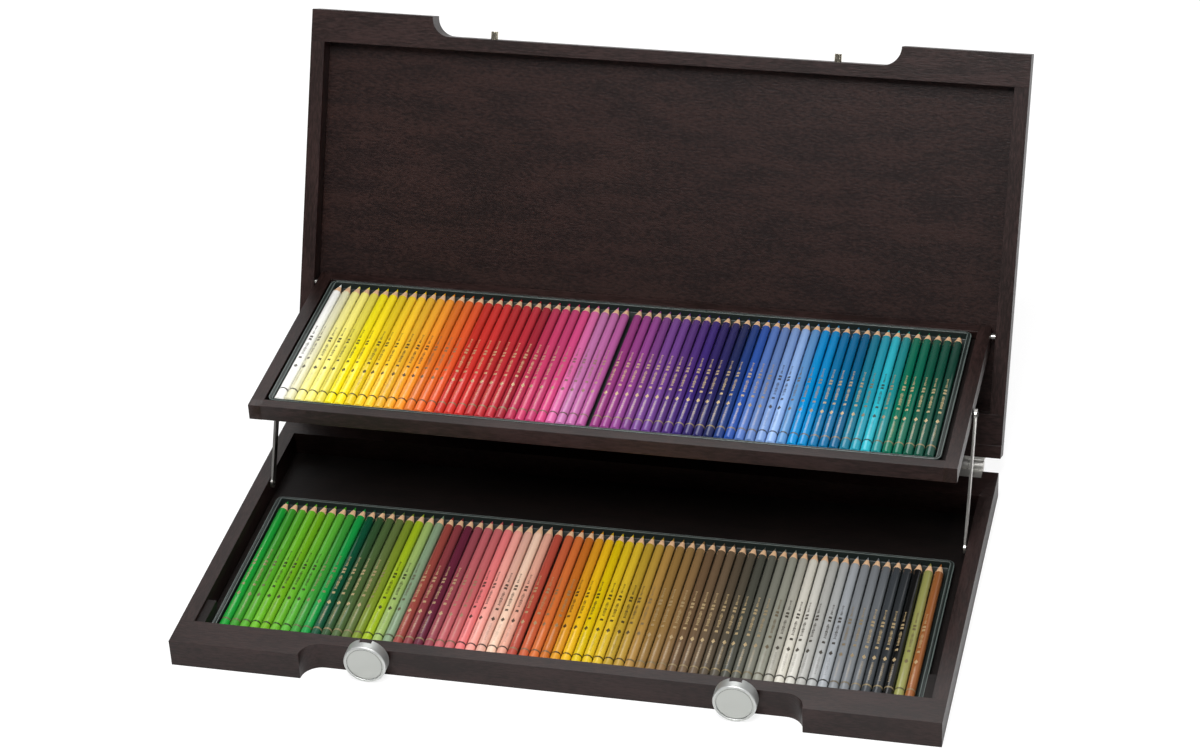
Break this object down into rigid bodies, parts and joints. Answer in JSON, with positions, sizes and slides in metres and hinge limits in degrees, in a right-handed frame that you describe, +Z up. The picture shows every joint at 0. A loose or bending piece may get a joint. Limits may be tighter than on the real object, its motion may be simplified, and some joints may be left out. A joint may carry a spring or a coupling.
{
  "type": "pencil case",
  "caption": "Flat wooden pencil case with a hinged lid, a tray that swings up on two links as the lid opens, pencil tins and two turning lock knobs.",
  "frame": {"origin": "centre of the case's underside", "axes": "X left to right, Y front to back, Z up; the case is open at rest"},
  "size_m": [0.587, 0.4885, 0.3165],
  "materials": {
    "stained_wood": "dark stained and satin lacquered",
    "stained_plywood": "dark stained panel, satin",
    "black_tinplate": "satin black lacquer",
    "lacquered_cedar": "gloss coloured lacquer over cedar",
    "colour_core": "waxy pigment",
    "satin_nickel": "satin",
    "turned_aluminium": "turned face, satin"
  },
  "bodies": {
    "base": {"base_front_rail": "stained_wood", "base_rear_rail": "stained_wood", "base_left_side": "stained_wood", "base_right_side": "stained_wood", "base_bottom_panel": "stained_plywood", "tray_rest_blocks": "stained_plywood", "lower_tin": "black_tinplate", "lower_pencils": "lacquered_cedar", "lower_cores": "colour_core", "link_foot_pins": "satin_nickel", "hinge_base_leaves": "satin_nickel", "hinge_pins": "satin_nickel", "hinge_base_screws": "satin_nickel"},
    "lid": {"lid_front_rail": "stained_wood", "lid_rear_rail": "stained_wood", "lid_hinge_strip": "stained_wood", "lid_left_side": "stained_wood", "lid_right_side": "stained_wood", "lid_panel": "stained_plywood", "lid_catch_pins": "satin_nickel", "hinge_lid_leaves": "satin_nickel", "hinge_lid_screws": "satin_nickel"},
    "tray": {"tray_front_rail": "stained_wood", "tray_rear_rail": "stained_wood", "tray_left_side": "stained_wood", "tray_right_side": "stained_wood", "tray_floor": "stained_plywood", "tray_pivot_pins": "satin_nickel", "tray_pivot_collars": "satin_nickel", "link_top_pins": "satin_nickel", "upper_tin": "black_tinplate", "upper_pencils": "lacquered_cedar", "upper_cores": "colour_core"},
    "left_link": {"link_left": "satin_nickel"},
    "right_link": {"link_right": "satin_nickel"},
    "left_knob": {"knob_left": "turned_aluminium", "knob_left_spindle": "satin_nickel", "knob_left_washer": "satin_nickel", "knob_left_nut": "satin_nickel"},
    "right_knob": {"knob_right": "turned_aluminium", "knob_right_spindle": "satin_nickel", "knob_right_washer": "satin_nickel", "knob_right_nut": "satin_nickel"}
  },
  "joints": [
    {"name": "lid_hinge", "type": "hinge", "parent": "base", "child": "lid", "pos_m": [0, 0.167, 0.02265], "axis": [1, 0, 0], "range_deg": [0, 116]},
    {"name": "left_link_foot", "type": "hinge", "parent": "base", "child": "left_link", "pos_m": [-0.28, 0.061, 0.0183], "axis": [1, 0, 0], "range_deg": [0, 116]},
    {"name": "right_link_foot", "type": "hinge", "parent": "base", "child": "right_link", "pos_m": [0.28, 0.061, 0.0183], "axis": [1, 0, 0], "range_deg": [0, 116]},
    {"name": "tray_pivot", "type": "hinge", "parent": "lid", "child": "tray", "pos_m": [0, 0.21642, 0.11371], "axis": [1, 0, 0], "range_deg": [-116, 0]},
    {"name": "left_knob_turn", "type": "hinge", "parent": "base", "child": "left_knob", "pos_m": [-0.1406, -0.15, 0.0172], "axis": [0, 1, 0], "continuous": true},
    {"name": "right_knob_turn", "type": "hinge", "parent": "base", "child": "right_knob", "pos_m": [0.1406, -0.15, 0.0172], "axis": [0, 1, 0], "continuous": true}
  ],
  "couplings": [
    {"joint": "left_link_foot", "follows": "lid_hinge", "ratio": 1},
    {"joint": "right_link_foot", "follows": "lid_hinge", "ratio": 1},
    {"joint": "tray_pivot", "follows": "lid_hinge", "ratio": -1}
  ]
}
